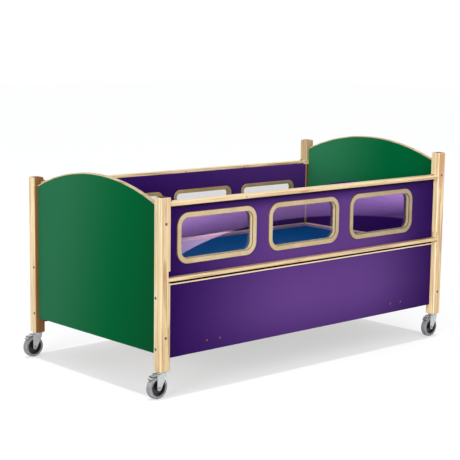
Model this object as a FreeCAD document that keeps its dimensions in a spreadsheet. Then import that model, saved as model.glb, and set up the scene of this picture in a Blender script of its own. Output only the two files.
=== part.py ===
"""Hospital cot: wooden frame on four braked castors, with two fold-down windowed sides.

Cot frame used while modelling: X along the cot towards the head end, Y across towards the back,
Z up from the underside of the posts, X and Y from the middle of the plan. Every piece is then
moved so that the origin lies on the floor under the middle of the whole cot.
"""
import FreeCAD
import Part
import Sketcher
import math
import os
import re

SIZES = {
    # overall frame
    "cot_length": 2020,
    "cot_width": 1068,
    "post_size": 55,
    "post_edge_round": 5,
    "post_end_ease": 1.5,
    "foot_post_rise": 22,
    "head_post_rise": 123,
    "board_thickness": 18,
    "board_setback": 5.5,
    "edging_thickness": 6,
    "seat_clearance": 0.3,
    "running_clearance": 0.05,
    # fixed lower sides and the ends of the base
    "lower_panel_bottom": 52,
    "lower_panel_top": 400,
    "base_end_thickness": 12,
    # arched end panels
    "end_panel_bottom": 76,
    "foot_arch_stand": 62.5,
    "head_arch_stand": 55,
    "arch_rise": 102,
    "arch_edging": 5.5,
    "liner_thickness": 6,
    "liner_drop": 266.5,
    # folding sides
    "top_rail_bottom": 762,
    "top_rail_thickness": 20,
    "lower_rail_bottom": 415.5,
    "lower_rail_thickness": 18,
    "rail_groove": 6,
    "rail_edge_round": 6,
    "rail_end_gap": 0.5,
    "upper_panel_end_gap": 2,
    "board_skirt_gap": 2,
    "notch_depth": 13,
    "notch_top_clearance": 2,
    "notch_floor_clearance": 0.7,
    "notch_back_clearance": 0.5,
    "pivot_inset": 11,
    "pin_radius": 4,
    "pin_grip": 20,
    # glazed openings
    "pane_thickness": 4,
    "ring_proud": 6,
    "ring_round": 4.5,
    "ring_sleeve": 4,
    "bead_thickness": 3,
    "bead_band": 20,
    "bead_round": 1.5,
    "front_window_foot_margin": 86,
    "front_window_head_margin": 210,
    "front_window_gap": 135,
    "front_window_low_margin": 76,
    "front_window_top_margin": 64.5,
    "front_window_corner": 39,
    "front_ring_band": 26.5,
    "back_window_foot_margin": 377,
    "back_window_head_margin": 125,
    "back_window_gap": 119,
    "back_window_low_margin": 113.5,
    "back_window_top_margin": 110,
    "back_window_corner": 21,
    "back_ring_band": 29,
    # side latches and stops
    "latch_radius": 4,
    "latch_post_clearance": 1,
    "latch_throw": 12,
    "latch_length": 62,
    "latch_bore_slack": 0.4,
    "tab_length": 9,
    "tab_width": 7,
    "tab_rise": 5,
    "tab_inset": 18,
    "stop_reach": 20,
    "stop_grip": 16,
    "stop_plate": 4,
    # mattress and what carries it
    "mattress_end_gap": 5.5,
    "mattress_side_gap": 9.5,
    "mattress_thickness": 110,
    "mattress_top": 388,
    "mattress_round": 22,
    "slat_thickness": 12,
    "slat_width": 70,
    "slat_count": 15,
    "bearer_width": 25,
    "bearer_tall": 40,
    "cross_bar_width": 124,
    "cross_bar_thick": 30,
    "cross_bar_bottom": 86,
    "cross_bar_place": 662,
    # bolts and screws
    "bolt_radius": 3,
    "bolt_head_radius": 7,
    "bolt_head_tall": 3,
    "bolt_grip": 25,
    "side_bolt_low": 102,
    "side_bolt_high": 342,
    "foot_bolt_low": 158,
    "foot_bolt_drop": 120,
    "head_bolt_low": 126,
    "head_bolt_drop": 124,
    "screw_radius": 2,
    "screw_head_radius": 5,
    "screw_head_tall": 1.4,
    "screw_spread": 84,
    # castors
    "tyre_radius": 53,
    "tyre_width": 32,
    "tyre_round": 8,
    "core_radius": 40,
    "rim_inner_radius": 34,
    "rim_width": 27,
    "hub_radius": 12,
    "web_thickness": 8,
    "hub_side_gap": 0.5,
    "crown_gap": 7,
    "axle_trail": 29,
    "axle_radius": 4,
    "nut_radius": 7.5,
    "nut_tall": 4,
    "stem_radius": 6,
    "stem_length": 60,
    "race_radius": 24,
    "race_tall": 5,
    "crown_thickness": 3,
    "rivet_radius": 9,
    "rivet_tall": 3,
    "leg_gap": 2,
    "leg_thickness": 3,
    "leg_front": 12,
    "leg_rear": 41,
    "leg_shoulder": 22,
    "leg_end_radius": 12,
    "crown_rear": 30,
    "pedal_pivot_back": 36,
    "pedal_barrel_gap": 1.4,
    "pedal_barrel_radius": 4,
    "pedal_pin_radius": 2.5,
    "pedal_width": 26,
    "hood_gap": 5,
    "hood_thickness": 3.2,
    "hood_reach": 73,
    "toe_reach": 66,
    "toe_fall": 5.5,
    "toe_thickness": 2.5,
}

# Places that several pieces share, written from the sizes above.
POST_X = "(cot_length / 2 - post_size / 2)"
POST_Y = "(cot_width / 2 - post_size / 2)"
END_X = "(cot_length / 2)"
SIDE_Y = "(cot_width / 2)"
INNER_X = "(cot_length / 2 - post_size)"
INNER_Y = "(cot_width / 2 - post_size)"
BOARD_IN = "(cot_width / 2 - post_size + board_setback)"
BOARD_OUT = "(cot_width / 2 - post_size + board_setback + board_thickness)"
BOARD_MID = "(cot_width / 2 - post_size + board_setback + board_thickness / 2)"
PIVOT_Y = "(cot_width / 2 - pivot_inset)"
PIVOT_Z = "(lower_rail_bottom + lower_rail_thickness / 2)"
RAIL_DEPTH = "(post_size - board_setback)"
NOTCH_TOP = ("(%s + sqrt((%s - pivot_inset) ^ 2 + (lower_rail_thickness / 2) ^ 2) + notch_top_clearance)"
             % (PIVOT_Z, RAIL_DEPTH))
NOTCH_FLOOR = ("(%s - rail_edge_round - sqrt((pivot_inset - rail_edge_round) ^ 2"
               " + (lower_rail_thickness / 2 - rail_edge_round) ^ 2) - notch_floor_clearance)" % PIVOT_Z)
NOTCH_BACK = ("(%s - sqrt((%s - pivot_inset) ^ 2 + (lower_rail_thickness / 2) ^ 2) - notch_back_clearance)"
              % (PIVOT_Y, RAIL_DEPTH))
LATCH_Y = "(cot_width / 2 - 2 * pivot_inset - latch_radius - latch_post_clearance)"
LATCH_Z = "(top_rail_bottom + top_rail_thickness / 2)"
TOP_RAIL_END = "(cot_length / 2 - post_size - rail_end_gap)"
LOWER_RAIL_END = "(cot_length / 2 - post_size + notch_depth - rail_end_gap)"
TOP_RAIL_TOP = "(top_rail_bottom + top_rail_thickness)"
BOARD_END = "(cot_length / 2 - post_size - upper_panel_end_gap)"
REBATE_END = "(cot_length / 2 - post_size - upper_panel_end_gap + rail_end_gap)"
POST_TOP = {
    -1: "(%s + foot_post_rise)" % TOP_RAIL_TOP,
    1: "(%s + head_post_rise)" % TOP_RAIL_TOP,
}
END_BOLTS = {
    -1: ("foot_bolt_low", "(%s - foot_bolt_drop)" % POST_TOP[-1]),
    1: ("head_bolt_low", "(%s - head_bolt_drop)" % POST_TOP[1]),
}
ARCH_APEX = {
    -1: "(%s + foot_arch_stand)" % POST_TOP[-1],
    1: "(%s + head_arch_stand)" % POST_TOP[1],
}
PANEL_BOARD_TOP = "(lower_panel_top - edging_thickness)"
END_BOARD_IN = "(cot_length / 2 - post_size / 2 - board_thickness / 2)"
END_BOARD_OUT = "(cot_length / 2 - post_size / 2 + board_thickness / 2)"
SLAT_TOP = "(mattress_top - mattress_thickness)"
ARCH_RADIUS = "(((cot_width / 2 - post_size) ^ 2 + arch_rise ^ 2) / (2 * arch_rise))"
SHIFT_X = "((axle_trail + tyre_radius - post_size / 2 - bolt_head_tall) / 2)"
FORK_TOP = "(-race_tall - seat_clearance)"
CROWN_TOP = "(-2 * race_tall)"
CROWN_FLOOR = "(-2 * race_tall - crown_thickness)"
AXLE_Z = "(-2 * race_tall - crown_thickness - crown_gap - tyre_radius)"
LIFT_Z = "(2 * race_tall + crown_thickness + crown_gap + 2 * tyre_radius)"
PEDAL_Z = ("(%s + sqrt((tyre_radius + pedal_barrel_gap + pedal_barrel_radius) ^ 2"
           " - (pedal_pivot_back - axle_trail) ^ 2))" % AXLE_Z)
LEG_IN = "(tyre_width / 2 + leg_gap)"
LEG_OUT = "(tyre_width / 2 + leg_gap + leg_thickness)"

X_AXIS = FreeCAD.Rotation(FreeCAD.Vector(0, 1, 0), 90)
Y_AXIS = FreeCAD.Rotation(FreeCAD.Vector(1, 0, 0), -90)
Z_AXIS = FreeCAD.Rotation()

doc = FreeCAD.newDocument("hospital_cot")
dims = doc.addObject("Spreadsheet::Sheet", "dims")
for row, (alias, value) in enumerate(SIZES.items(), start=1):
    dims.set("A%d" % row, alias)
    dims.set("B%d" % row, str(value))
    dims.setAlias("B%d" % row, alias)
doc.recompute()

subparts = []


def bound(text):
    """The expression with every size name read from the sheet."""
    return re.sub(r"[a-z_]+", lambda word: "dims." + word.group() if word.group() in SIZES
                  else word.group(), str(text))


def bind(thing, **fields):
    for field, text in fields.items():
        thing.setExpression(field.replace("__", "."), bound(text))


def locate(thing, x="0", y="0", z="0"):
    bind(thing, Placement__Base__x=x, Placement__Base__y=y, Placement__Base__z=z)


def keep(thing, label, x="0", y="0", z="0"):
    """Name a finished sub-part and carry it from the cot frame to the floor frame."""
    thing.Label = label
    locate(thing, "%s + %s" % (SHIFT_X, x), y, "%s + %s" % (LIFT_Z, z))
    subparts.append(thing)
    return thing


def span(sign, near, far):
    """Lower and upper limit of a stretch given by its distances from the middle plane."""
    if sign > 0:
        return str(near), str(far)
    return "-(%s)" % far, "-(%s)" % near


def signed(sign, text):
    return text if sign > 0 else "-(%s)" % text


# ---- Part primitives with bound sizes ----

def box(name, x, y, z):
    solid = doc.addObject("Part::Box", name)
    bind(solid, Length="(%s) - (%s)" % (x[1], x[0]), Width="(%s) - (%s)" % (y[1], y[0]),
         Height="(%s) - (%s)" % (z[1], z[0]))
    locate(solid, x[0], y[0], z[0])
    return solid


def rod(name, turn, radius, start, length):
    solid = doc.addObject("Part::Cylinder", name)
    solid.Placement.Rotation = turn
    bind(solid, Radius=radius, Height=length)
    locate(solid, *start)
    return solid


def taper(name, turn, wide, narrow, start, length):
    solid = doc.addObject("Part::Cone", name)
    solid.Placement.Rotation = turn
    bind(solid, Radius1=wide, Radius2=narrow, Height=length)
    locate(solid, *start)
    return solid


def hexagon(name, turn, radius, start, length):
    solid = doc.addObject("Part::Prism", name)
    solid.Polygon = 6
    solid.Placement.Rotation = turn
    bind(solid, Circumradius=radius, Height=length)
    locate(solid, *start)
    return solid


def fused(name, members):
    joined = doc.addObject("Part::MultiFuse", name)
    joined.Shapes = members
    joined.Refine = True
    return joined


def gathered(name, members):
    group = doc.addObject("Part::Compound", name)
    group.Links = members
    return group


def less(name, base, tools):
    result = doc.addObject("Part::Cut", name)
    result.Base = base
    result.Tool = tools[0] if len(tools) == 1 else gathered(name + "_cutters", tools)
    return result


def common(name, base, other):
    result = doc.addObject("Part::Common", name)
    result.Base = base
    result.Tool = other
    return result


# ---- PartDesign bodies with bound sketches ----

PLANES = {"X": "YZ_Plane", "Y": "XZ_Plane", "Z": "XY_Plane"}


def new_body(name):
    body = doc.addObject("PartDesign::Body", name)
    body.AllowCompound = True
    return body


def sketch_on(body, axis, low, high):
    """A sketch square to the axis, at the end of the stretch from which its normal points inwards."""
    plane = [f for f in body.Origin.OriginFeatures if f.Role == PLANES[axis]][0]
    sketch = body.newObject("Sketcher::SketchObject", body.Name + "_sketch")
    sketch.AttachmentSupport = (plane, [""])
    sketch.MapMode = "FlatFace"
    height = "-(%s)" % high if axis == "Y" else low
    sketch.setExpression(".AttachmentOffset.Base.z", bound(height))
    return sketch


def measured(text):
    """The present value of an expression, read through a construction point."""
    gauge = doc.getObject("gauge") or doc.addObject("Part::Vertex", "gauge")
    bind(gauge, X=text)
    gauge.recompute()
    return float(gauge.X)


def spot(across, up):
    """A point of a sketch at the present values of two expressions."""
    return FreeCAD.Vector(measured(across), measured(up), 0)


def fix(sketch, kind, *where, value=None):
    if value is None:
        return sketch.addConstraint(Sketcher.Constraint(kind, *where))
    index = sketch.addConstraint(Sketcher.Constraint(kind, *where, measured(value)))
    sketch.setExpression("Constraints[%d]" % index, bound(value))
    return index


def polygon(sketch, corners):
    first = sketch.GeometryCount
    count = len(corners)
    points = [spot(across, up) for across, up in corners]
    for i in range(count):
        sketch.addGeometry(Part.LineSegment(points[i], points[(i + 1) % count]))
    for i, (across, up) in enumerate(corners):
        fix(sketch, "Coincident", first + i, 2, first + (i + 1) % count, 1)
        fix(sketch, "DistanceX", -1, 1, first + i, 1, value=across)
        fix(sketch, "DistanceY", -1, 1, first + i, 1, value=up)


def rectangle(sketch, across, up):
    polygon(sketch, [(across[0], up[0]), (across[1], up[0]), (across[1], up[1]), (across[0], up[1])])


def circle(sketch, across, up, radius):
    ring = Part.Circle(spot(across, up), FreeCAD.Vector(0, 0, 1), measured(radius))
    index = sketch.addGeometry(ring)
    fix(sketch, "DistanceX", -1, 1, index, 3, value=across)
    fix(sketch, "DistanceY", -1, 1, index, 3, value=up)
    fix(sketch, "Radius", index, value=radius)


def rounded_rectangle(sketch, across, up, radius):
    left, right = measured(across[0]), measured(across[1])
    low, high = measured(up[0]), measured(up[1])
    corner = measured(radius)
    first = sketch.GeometryCount
    centres = [(right - corner, low + corner), (right - corner, high - corner),
               (left + corner, high - corner), (left + corner, low + corner)]
    for quarter, (x, y) in enumerate(centres):
        start = (quarter - 1) * math.pi / 2
        ring = Part.Circle(FreeCAD.Vector(x, y, 0), FreeCAD.Vector(0, 0, 1), corner)
        sketch.addGeometry(Part.ArcOfCircle(ring, start, start + math.pi / 2))
    for quarter in range(4):
        here = sketch.Geometry[first + quarter].EndPoint
        after = sketch.Geometry[first + (quarter + 1) % 4].StartPoint
        sketch.addGeometry(Part.LineSegment(here, after))
    for quarter in range(4):
        fix(sketch, "Tangent", first + quarter, 2, first + 4 + quarter, 1)
        fix(sketch, "Tangent", first + 4 + quarter, 2, first + (quarter + 1) % 4, 1)
        fix(sketch, "Horizontal" if quarter % 2 else "Vertical", first + 4 + quarter)
    for quarter in (1, 2, 3):
        fix(sketch, "Equal", first, first + quarter)
    fix(sketch, "Radius", first, value=radius)
    fix(sketch, "DistanceX", -1, 1, first + 4, 1, value=across[1])
    fix(sketch, "DistanceX", -1, 1, first + 6, 1, value=across[0])
    fix(sketch, "DistanceY", -1, 1, first + 5, 1, value=up[1])
    fix(sketch, "DistanceY", -1, 1, first + 7, 1, value=up[0])


def add_pad(body, sketch, low, high):
    pad = body.newObject("PartDesign::Pad", body.Name + "_pad")
    pad.Profile = sketch
    bind(pad, Length="(%s) - (%s)" % (high, low))
    doc.recompute()
    return pad


def cut_pocket(body, sketch, low, high):
    before = body.Shape.Volume
    pocket = body.newObject("PartDesign::Pocket", body.Name + "_pocket")
    pocket.Profile = sketch
    pocket.Reversed = True
    bind(pocket, Length="(%s) - (%s)" % (high, low))
    doc.recompute()
    if body.Shape.Volume > before - 0.01:
        raise RuntimeError("a pocket of %s cuts nothing" % body.Name)
    return pocket


def block(body, axis, across, up, along):
    sketch = sketch_on(body, axis, *along)
    rectangle(sketch, across, up)
    return add_pad(body, sketch, *along)


def slot(body, axis, across, up, along):
    sketch = sketch_on(body, axis, *along)
    rectangle(sketch, across, up)
    return cut_pocket(body, sketch, *along)


def bores(body, axis, centres, radius, along):
    sketch = sketch_on(body, axis, *along)
    for across, up in centres:
        circle(sketch, across, up, radius)
    return cut_pocket(body, sketch, *along)


def straight_edges(shape, axis):
    """Names and middles of the straight edges that run along an axis."""
    found = []
    for index, edge in enumerate(shape.Edges, start=1):
        if isinstance(edge.Curve, Part.Line) and abs(getattr(edge.Curve.Direction, axis)) > 0.999:
            found.append(("Edge%d" % index, edge.CenterOfMass))
    return found


def round_over(body, names, radius, kind="PartDesign::Fillet"):
    base = body.Tip
    feature = body.newObject(kind, body.Name + "_edge")
    feature.Base = (base, names)
    field = "Radius" if kind == "PartDesign::Fillet" else "Size"
    bind(feature, **{field: radius})
    body.Tip = feature
    doc.recompute()
    return feature


def round_corners(body, axis, radius, test=None):
    tip = body.Tip
    names = [name for name, middle in straight_edges(tip.Shape, axis) if test is None or test(middle)]
    return round_over(body, names, radius)


def round_rim(body, axis, level, radius):
    """Round every edge that lies wholly at one level along an axis."""
    names = []
    for index, edge in enumerate(body.Tip.Shape.Edges, start=1):
        low = getattr(edge.BoundBox, axis.upper() + "Min")
        high = getattr(edge.BoundBox, axis.upper() + "Max")
        if abs(low - level) < 0.01 and abs(high - level) < 0.01:
            names.append("Edge%d" % index)
    return round_over(body, names, radius)


# ---- Posts ----

def make_post(label, end, side):
    body = new_body(label)
    across = span(end, INNER_X, END_X)
    deep = span(side, INNER_Y, SIDE_Y)
    block(body, "Z", across, deep, ("0", POST_TOP[end]))
    round_corners(body, "z", "post_edge_round")
    tops = [("Face%d" % i) for i, face in enumerate(body.Tip.Shape.Faces, start=1)
            if abs(face.normalAt(0, 0).z) > 0.999]
    round_over(body, tops, "post_end_ease", "PartDesign::Chamfer")
    # notch that takes the lower rail's end and lets it turn over, open at the outer face
    slot(body, "X", span(side, NOTCH_BACK, SIDE_Y), (NOTCH_FLOOR, NOTCH_TOP),
         span(end, INNER_X, "%s + notch_depth" % INNER_X))
    bores(body, "X", [(signed(side, PIVOT_Y), PIVOT_Z)], "pin_radius + running_clearance",
          span(end, "%s + notch_depth" % INNER_X, "%s + notch_depth + pin_grip" % INNER_X))
    bores(body, "X", [(signed(side, LATCH_Y), LATCH_Z)], "latch_radius + latch_bore_slack",
          span(end, INNER_X, "%s + latch_throw + 2 * rail_end_gap" % INNER_X))
    bores(body, "X", [(signed(side, BOARD_MID), level) for level in ("side_bolt_low", "side_bolt_high")],
          "bolt_radius + running_clearance", span(end, INNER_X, END_X))
    bores(body, "Y", [(signed(end, POST_X), level) for level in END_BOLTS[end]],
          "bolt_radius + running_clearance", span(side, INNER_Y, SIDE_Y))
    bores(body, "Z", [(signed(end, POST_X), signed(side, POST_Y))], "stem_radius + running_clearance",
          ("0", "stem_length + seat_clearance"))
    return keep(body, label)


CORNERS = {
    "foot_front": (-1, -1),
    "foot_back": (-1, 1),
    "head_front": (1, -1),
    "head_back": (1, 1),
}

for place, (end, side) in CORNERS.items():
    make_post("post_" + place, end, side)


# ---- Arched end panels with an edging along the arch, and their liners ----

def make_arch(name, apex, radius_cut, across, bottom, side_gap="0"):
    """A board whose top follows the end arch, cut down by radius_cut below the arch line."""
    half = "%s - (%s)" % (INNER_Y, side_gap)
    board = box(name + "_board", across, ("-(%s)" % half, half), (bottom, apex))
    arch = rod(name + "_arch", X_AXIS, "%s - (%s)" % (ARCH_RADIUS, radius_cut),
               (across[0], "0", "%s - %s" % (apex, ARCH_RADIUS)), "(%s) - (%s)" % (across[1], across[0]))
    return common(name, board, arch)


def make_end(place, end):
    apex = ARCH_APEX[end]
    across = span(end, END_BOARD_IN, END_BOARD_OUT)
    panel = make_arch(place + "_panel_shape", apex, "arch_edging", across, "end_panel_bottom")
    cutters = []
    for side in (-1, 1):
        for level in END_BOLTS[end]:
            run = span(side, "%s - bolt_grip" % INNER_Y, INNER_Y)
            cutters.append(rod("%s_panel_bore" % place, Y_AXIS, "bolt_radius + running_clearance",
                               (signed(end, POST_X), run[0], level), "bolt_grip"))
    keep(less(place + "_panel_bored", panel, cutters), place + "_panel")
    whole = make_arch(place + "_edging_outer", apex, "0", across, "%s - arch_rise - 2 * arch_edging" % apex)
    inner = make_arch(place + "_edging_inner", apex, "arch_edging", across,
                      "%s - arch_rise - 3 * arch_edging" % apex)
    keep(less(place + "_edging_strip", whole, [inner]), place + "_panel_edging")
    liner_across = span(end, "%s - liner_thickness" % END_BOARD_IN, END_BOARD_IN)
    liner = make_arch(place + "_liner_shape", "%s - liner_drop" % apex, "0", liner_across, "end_panel_bottom")
    keep(liner, place + "_liner")


make_end("foot", -1)
make_end("head", 1)

END_BOARD_NEAR = "(%s - liner_thickness - base_end_thickness)" % END_BOARD_IN
END_BOARD_FAR = "(%s - liner_thickness)" % END_BOARD_IN
base_ends = []
edgings = []
for end in (-1, 1):
    across = span(end, END_BOARD_NEAR, END_BOARD_FAR)
    base_ends.append(box("base_end", across, ("-" + INNER_Y, INNER_Y),
                         ("end_panel_bottom", PANEL_BOARD_TOP)))
    edgings.append(box("base_end_edging", across, ("-" + INNER_Y, INNER_Y),
                       (PANEL_BOARD_TOP, "lower_panel_top")))
keep(gathered("base_end_boards_group", base_ends), "base_end_boards")


# ---- Fixed lower sides ----

SCREW_PLACES = [
    "-cross_bar_place - screw_spread / 2",
    "-cross_bar_place + screw_spread / 2",
    "cross_bar_place - screw_spread / 2",
    "cross_bar_place + screw_spread / 2",
]
SCREW_Z = "(cross_bar_bottom + cross_bar_thick / 2)"
SCREW_GRIP = "(board_thickness + cross_bar_thick / 2 + 5)"

for place, side in (("front", -1), ("back", 1)):
    deep = span(side, BOARD_IN, BOARD_OUT)
    board = box("lower_board_" + place, ("-" + INNER_X, INNER_X), deep,
                ("lower_panel_bottom", PANEL_BOARD_TOP))
    cutters = []
    for end in (-1, 1):
        for level in ("side_bolt_low", "side_bolt_high"):
            run = span(end, "%s - bolt_grip" % INNER_X, INNER_X)
            cutters.append(rod("lower_board_bore", X_AXIS, "bolt_radius + running_clearance",
                               (run[0], signed(side, BOARD_MID), level), "bolt_grip"))
    for across in SCREW_PLACES:
        cutters.append(rod("lower_board_screw_bore", Y_AXIS, "screw_radius + running_clearance",
                           (across, deep[0], SCREW_Z), "board_thickness"))
    keep(less("lower_board_bored_" + place, board, cutters), "lower_panel_" + place)
    edgings.append(box("lower_edging_" + place, ("-" + INNER_X, INNER_X), deep,
                       (PANEL_BOARD_TOP, "lower_panel_top")))
keep(gathered("base_edgings_group", edgings), "base_edgings")


# ---- Folding sides ----

def make_rails(place, side):
    deep = span(side, BOARD_IN, SIDE_Y)
    rebate = span(side, BOARD_IN, BOARD_OUT)
    outer = side * dims.cot_width / 2

    def on_outer_face(middle):
        return abs(middle.y - outer) < 0.01

    top = new_body("top_rail_" + place)
    block(top, "X", deep, ("top_rail_bottom", TOP_RAIL_TOP), ("-" + TOP_RAIL_END, TOP_RAIL_END))
    round_corners(top, "x", "rail_edge_round", on_outer_face)
    slot(top, "X", rebate, ("top_rail_bottom", "top_rail_bottom + rail_groove"),
         ("-" + TOP_RAIL_END, TOP_RAIL_END))
    for end in (-1, 1):
        bores(top, "X", [(signed(side, LATCH_Y), LATCH_Z)], "latch_radius + running_clearance",
              span(end, "%s - latch_length - rail_end_gap" % TOP_RAIL_END, TOP_RAIL_END))
        slot(top, "Z", span(end, "%s - tab_inset - tab_length / 2 - latch_throw - 1" % TOP_RAIL_END,
                            "%s - tab_inset + tab_length / 2 + 1" % TOP_RAIL_END),
             span(side, "%s - tab_width / 2 - 0.5" % LATCH_Y, "%s + tab_width / 2 + 0.5" % LATCH_Y),
             (LATCH_Z, TOP_RAIL_TOP))
    keep(top, "top_rail_" + place)

    low = new_body("lower_rail_" + place)
    block(low, "X", deep, ("lower_rail_bottom", "lower_rail_bottom + lower_rail_thickness"),
          ("-" + LOWER_RAIL_END, LOWER_RAIL_END))
    round_corners(low, "x", "rail_edge_round", on_outer_face)
    slot(low, "X", rebate, ("lower_rail_bottom", "lower_rail_bottom + lower_rail_thickness"),
         ("-" + REBATE_END, REBATE_END))
    for end in (-1, 1):
        bores(low, "X", [(signed(side, PIVOT_Y), PIVOT_Z)], "pin_radius + running_clearance",
              span(end, "%s - pin_grip - 1" % LOWER_RAIL_END, LOWER_RAIL_END))
    keep(low, "lower_rail_" + place)


def window_stretch(place, index, extra):
    """Across and up limits of one of three equal openings, grown by extra on every side."""
    foot, head, gap, low, top = ["%s_window_%s" % (place, part) for part in
                                 ("foot_margin", "head_margin", "gap", "low_margin", "top_margin")]
    wide = "((2 * %s - %s - %s - 2 * %s) / 3)" % (INNER_X, foot, head, gap)
    start = "(%s - %s + %d * (%s + %s))" % (foot, INNER_X, index, wide, gap)
    floor = "(lower_rail_bottom + lower_rail_thickness + %s)" % low
    ceiling = "(top_rail_bottom - %s)" % top
    return (("%s - (%s)" % (start, extra), "%s + %s + (%s)" % (start, wide, extra)),
            ("%s - (%s)" % (floor, extra), "%s + (%s)" % (ceiling, extra)))


def opening(body, place, index, extra, along):
    """A sketch of one rounded opening, grown by extra on every side."""
    sketch = sketch_on(body, "Y", *along)
    rounded_rectangle(sketch, *window_stretch(place, index, extra),
                      "%s_window_corner + (%s)" % (place, extra))
    return sketch


def make_windowed_board(place, side):
    deep = span(side, BOARD_IN, BOARD_OUT)
    body = new_body("upper_panel_" + place)
    block(body, "Y", ("-" + BOARD_END, BOARD_END),
          ("lower_panel_top + board_skirt_gap", "top_rail_bottom + rail_groove"), deep)
    for index in range(3):
        cut_pocket(body, opening(body, place, index, "ring_sleeve", deep), *deep)
    keep(body, "upper_panel_" + place)


def make_ring(place, side, index):
    """Moulded frame outside: a proud flange on the board and a sleeve through its opening."""
    body = new_body("ring_%s_%d" % (place, index + 1))
    flange = span(side, BOARD_OUT, "%s + ring_proud" % BOARD_OUT)
    add_pad(body, opening(body, place, index, "%s_ring_band" % place, flange), *flange)
    sleeve = span(side, "%s + pane_thickness" % BOARD_IN, BOARD_OUT)
    add_pad(body, opening(body, place, index, "ring_sleeve - running_clearance", sleeve), *sleeve)
    through = span(side, "%s + pane_thickness" % BOARD_IN, "%s + ring_proud" % BOARD_OUT)
    cut_pocket(body, opening(body, place, index, "0", through), *through)
    round_rim(body, "y", measured(signed(side, "(%s + ring_proud)" % BOARD_OUT)), "ring_round")
    return body


def make_bead(place, side, index):
    """Flat frame inside that holds the pane against the sleeve."""
    body = new_body("bead_%s_%d" % (place, index + 1))
    deep = span(side, "%s - bead_thickness" % BOARD_IN, BOARD_IN)
    add_pad(body, opening(body, place, index, "bead_band", deep), *deep)
    cut_pocket(body, opening(body, place, index, "0", deep), *deep)
    round_rim(body, "y", measured(signed(side, "(%s - bead_thickness)" % BOARD_IN)), "bead_round")
    return body


def make_pane(place, side, index):
    body = new_body("pane_%s_%d" % (place, index + 1))
    deep = span(side, BOARD_IN, "%s + pane_thickness" % BOARD_IN)
    add_pad(body, opening(body, place, index, "ring_sleeve - running_clearance", deep), *deep)
    return body


for place, side in (("front", -1), ("back", 1)):
    make_rails(place, side)
    make_windowed_board(place, side)
    kinds = {"window_rings": make_ring, "window_beads": make_bead, "window_panes": make_pane}
    for kind, maker in kinds.items():
        members = [maker(place, side, index) for index in range(3)]
        keep(gathered("%s_%s_group" % (kind, place), members), "%s_%s" % (kind, place))


# ---- Pivot pins, latch bolts and stops of the folding sides ----

pins = []
stops = []
for place, (end, side) in CORNERS.items():
    run = span(end, "%s - pin_grip" % LOWER_RAIL_END, "%s + notch_depth + pin_grip" % INNER_X)
    pins.append(rod("pin_" + place, X_AXIS, "pin_radius", (run[0], signed(side, PIVOT_Y), PIVOT_Z),
                    "(%s) - (%s)" % (run[1], run[0])))
    pad = box("stop_pad_" + place, span(end, "%s - stop_reach" % INNER_X, INNER_X),
              span(side, "%s - stop_plate" % INNER_Y, BOARD_IN), ("top_rail_bottom", TOP_RAIL_TOP))
    plate = box("stop_plate_" + place, span(end, "%s - stop_reach" % INNER_X, "%s + stop_grip" % INNER_X),
                span(side, "%s - stop_plate" % INNER_Y, INNER_Y), ("top_rail_bottom", TOP_RAIL_TOP))
    stops.append(fused("stop_" + place, [pad, plate]))
    tip = "%s + latch_throw" % TOP_RAIL_END
    run = span(end, "%s - latch_length" % tip, tip)
    bolt = rod("latch_bolt_" + place, X_AXIS, "latch_radius", (run[0], signed(side, LATCH_Y), LATCH_Z),
               "latch_length")
    tab = box("latch_tab_" + place, span(end, "%s - tab_inset - tab_length / 2" % TOP_RAIL_END,
                                         "%s - tab_inset + tab_length / 2" % TOP_RAIL_END),
              span(side, "%s - tab_width / 2" % LATCH_Y, "%s + tab_width / 2" % LATCH_Y),
              (LATCH_Z, "%s + tab_rise" % TOP_RAIL_TOP))
    keep(fused("latch_shape_" + place, [bolt, tab]), "latch_" + place)
keep(gathered("fold_pins_group", pins), "fold_pins")
keep(gathered("rail_stops_group", stops), "rail_stops")


# ---- Mattress base and mattress ----

bearers = []
bars = []
for side in (-1, 1):
    deep = span(side, "%s - bearer_width" % BOARD_IN, BOARD_IN)
    bearers.append(box("bearer", ("-" + INNER_X, INNER_X), deep,
                       ("%s - slat_thickness - bearer_tall" % SLAT_TOP, "%s - slat_thickness" % SLAT_TOP)))
    bar = box("cross_bar_blank", span(side, "cross_bar_place - cross_bar_width / 2",
                                      "cross_bar_place + cross_bar_width / 2"),
              ("-" + BOARD_IN, BOARD_IN), ("cross_bar_bottom", "cross_bar_bottom + cross_bar_thick"))
    cutters = []
    for across in SCREW_PLACES[:2] if side < 0 else SCREW_PLACES[2:]:
        for face in (-1, 1):
            run = span(face, "%s - (%s - board_thickness)" % (BOARD_IN, SCREW_GRIP), BOARD_IN)
            cutters.append(rod("cross_bar_bore", Y_AXIS, "screw_radius + running_clearance",
                               (across, run[0], SCREW_Z), "%s - board_thickness" % SCREW_GRIP))
    bars.append(less("cross_bar", bar, cutters))
keep(gathered("bearers_group", bearers), "slat_bearers")
keep(gathered("cross_bars_group", bars), "cross_bars")

slats = []
slat_total = int(dims.slat_count)
for index in range(slat_total):
    middle = "((%d) * (2 * %s - slat_width) / (slat_count - 1))" % (index, INNER_X)
    start = "%s - %s" % (middle, INNER_X)
    slats.append(box("slat", (start, "%s + slat_width" % start),
                     ("-(%s - seat_clearance)" % BOARD_IN, "%s - seat_clearance" % BOARD_IN),
                     ("%s - slat_thickness" % SLAT_TOP, SLAT_TOP)))
keep(gathered("slats_group", slats), "slats")

pad = new_body("mattress_block")
pad_end = "(%s - mattress_end_gap)" % END_BOARD_NEAR
pad_side = "(%s - mattress_side_gap)" % BOARD_IN
block(pad, "Z", ("-" + pad_end, pad_end), ("-" + pad_side, pad_side), (SLAT_TOP, "mattress_top"))
round_corners(pad, "z", "mattress_round")
keep(pad, "mattress")


# ---- Bolts and screws ----

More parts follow.
